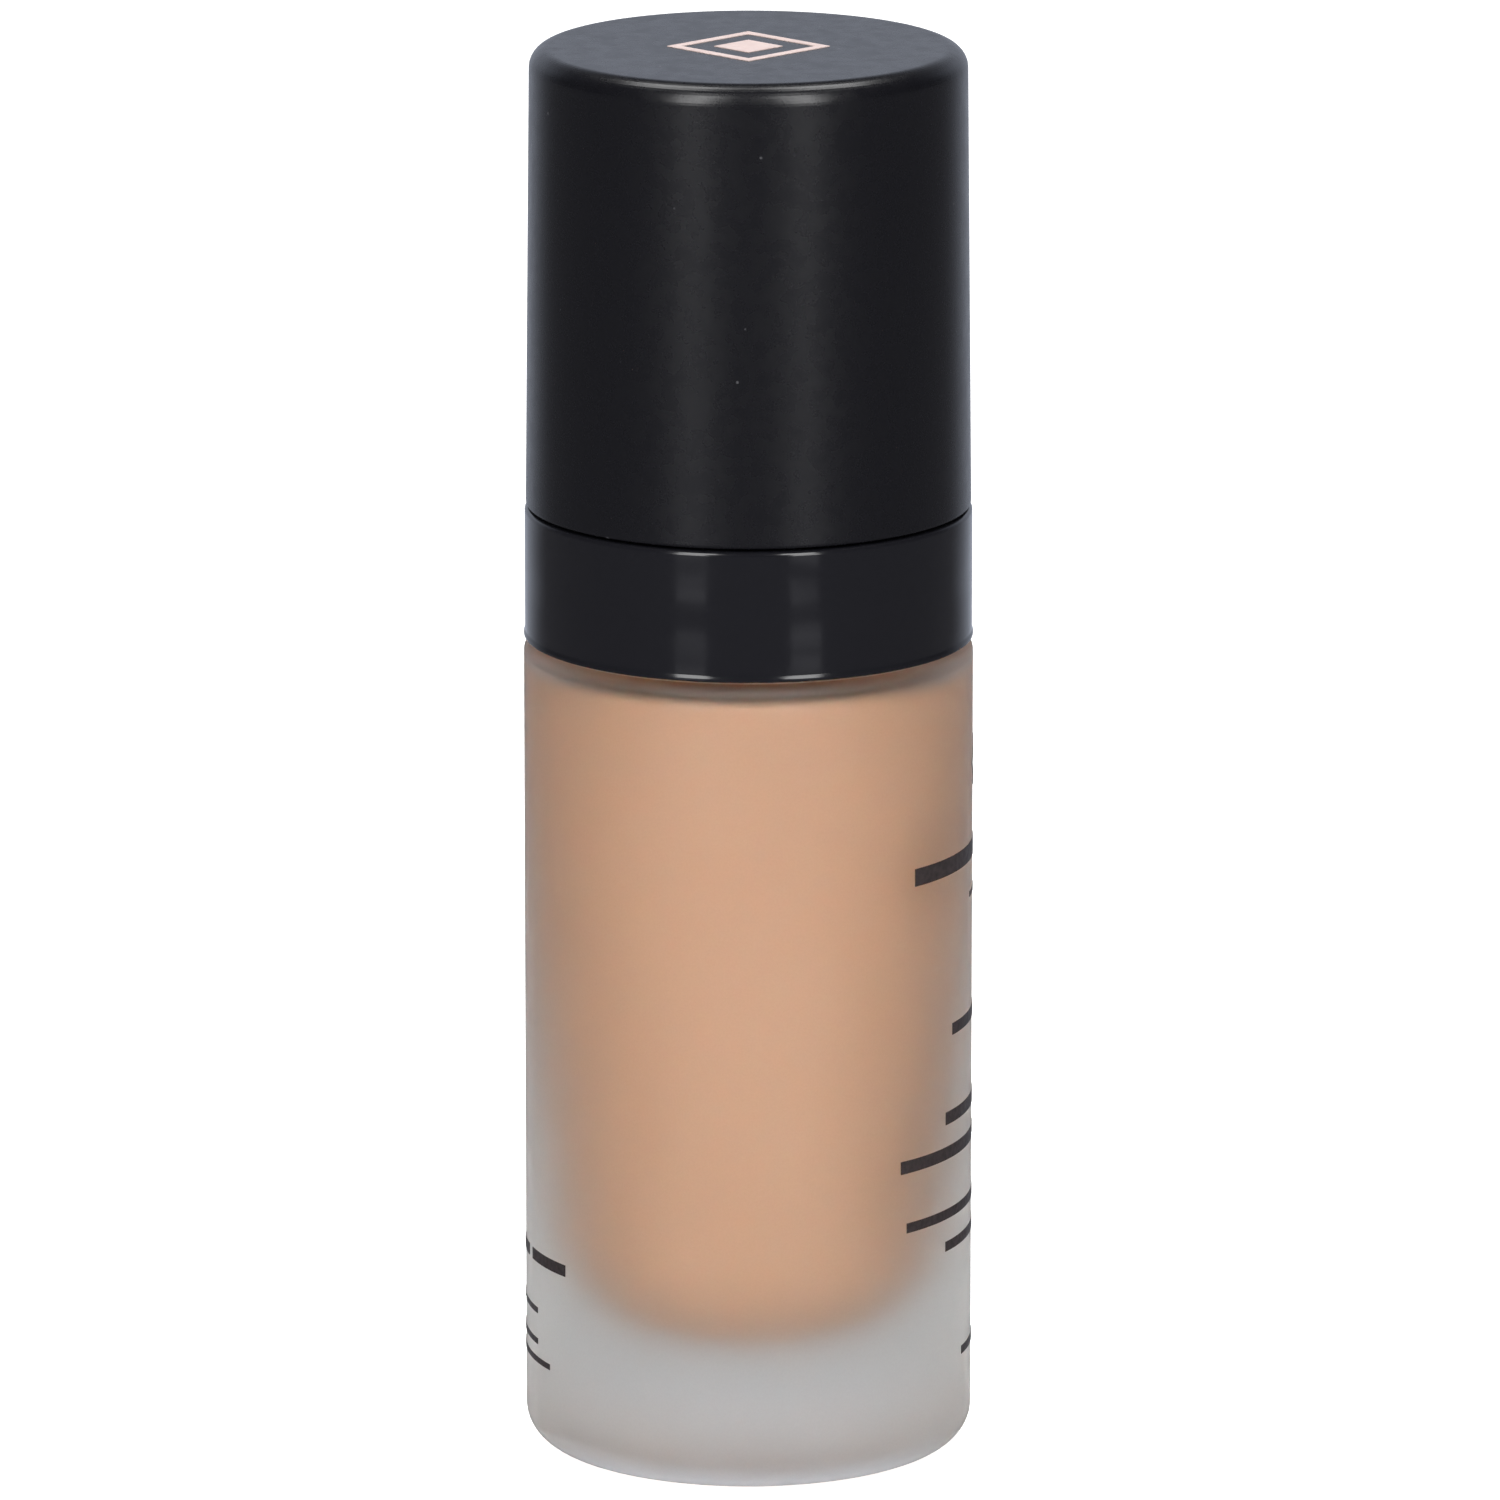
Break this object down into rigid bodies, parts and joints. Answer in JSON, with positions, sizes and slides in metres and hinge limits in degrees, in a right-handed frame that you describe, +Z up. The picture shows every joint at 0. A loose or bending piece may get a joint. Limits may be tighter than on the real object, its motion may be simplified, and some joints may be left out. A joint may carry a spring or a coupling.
{
  "type": "foundation bottle",
  "caption": "Cylindrical pump bottle for liquid foundation: thick frosted glass, screw-on treatment pump with a glossy collar, and a pull-off matte overcap.",
  "frame": {"origin": "centre of the foot ring, on the plane the bottle stands on", "axes": "+Z up along the bottle's axis; the front print and the pump's spout face -Y, the back print faces +Y"},
  "size_m": [0.0376, 0.0378, 0.1195],
  "materials": {
    "frosted_glass": "acid-frosted outside, clear inside",
    "foundation": "opaque liquid",
    "label_film": "satin",
    "print_ink": "screen-printed",
    "gasket_foam": "matte",
    "natural_plastic": "natural polypropylene",
    "piston_plastic": "satin",
    "stainless": "bright",
    "closure_plastic": "matte",
    "collar_gloss": "high gloss",
    "actuator_gloss": "gloss",
    "cap_matte": "fine matte",
    "liner_plastic": "satin",
    "rose_foil": "hot-stamped foil"
  },
  "bodies": {
    "bottle": {"glass_bottle": "frosted_glass", "foundation_fill": "foundation", "base_sticker": "label_film", "front_print": "print_ink", "back_print": "print_ink"},
    "pump_insert": {"neck_gasket": "gasket_foam", "pump_housing": "natural_plastic", "pump_retainer": "natural_plastic", "dip_tube": "natural_plastic", "return_spring": "stainless"},
    "inlet_valve": {"inlet_ball": "stainless"},
    "piston_ring": {"piston": "piston_plastic"},
    "plunger": {"piston_rod": "piston_plastic", "pump_stem": "natural_plastic"},
    "actuator": {"actuator_core": "actuator_gloss", "actuator_shell": "actuator_gloss"},
    "closure": {"screw_closure": "closure_plastic", "collar_shroud": "collar_gloss"},
    "overcap": {"cap_shell": "cap_matte", "cap_liner": "liner_plastic", "cap_emblem": "rose_foil"}
  },
  "joints": [
    {"name": "pump_lift", "type": "slide", "parent": "bottle", "child": "pump_insert", "axis": [0, 0, 1], "range_m": [0, 0.00477]},
    {"name": "closure_turn", "type": "hinge", "parent": "pump_insert", "child": "closure", "pos_m": [0, 0, 0.0754], "axis": [0, 0, 1], "range_deg": [0, 540]},
    {"name": "overcap_lift", "type": "slide", "parent": "closure", "child": "overcap", "axis": [0, 0, 1], "range_m": [0, 0.045]},
    {"name": "actuator_press", "type": "slide", "parent": "pump_insert", "child": "plunger", "axis": [0, 0, -1], "range_m": [0, 0.0045], "stiffness_N_per_m": 1500, "springref_m": -0.003, "deforming": ["return_spring"]},
    {"name": "actuator_swivel", "type": "hinge", "parent": "plunger", "child": "actuator", "pos_m": [0, 0, 0.0931], "axis": [0, 0, 1], "continuous": true},
    {"name": "piston_slide", "type": "slide", "parent": "pump_insert", "child": "piston_ring", "axis": [0, 0, -1], "range_m": [0, 0.00386]},
    {"name": "inlet_ball_lift", "type": "slide", "parent": "pump_insert", "child": "inlet_valve", "axis": [0, 0, 1], "range_m": [0, 0.0008]}
  ],
  "couplings": [
    {"joint": "pump_lift", "follows": "closure_turn", "m_per_rad": 0.00050532},
    {"joint": "piston_slide", "follows": "actuator_press", "ratio": 0.8555}
  ]
}
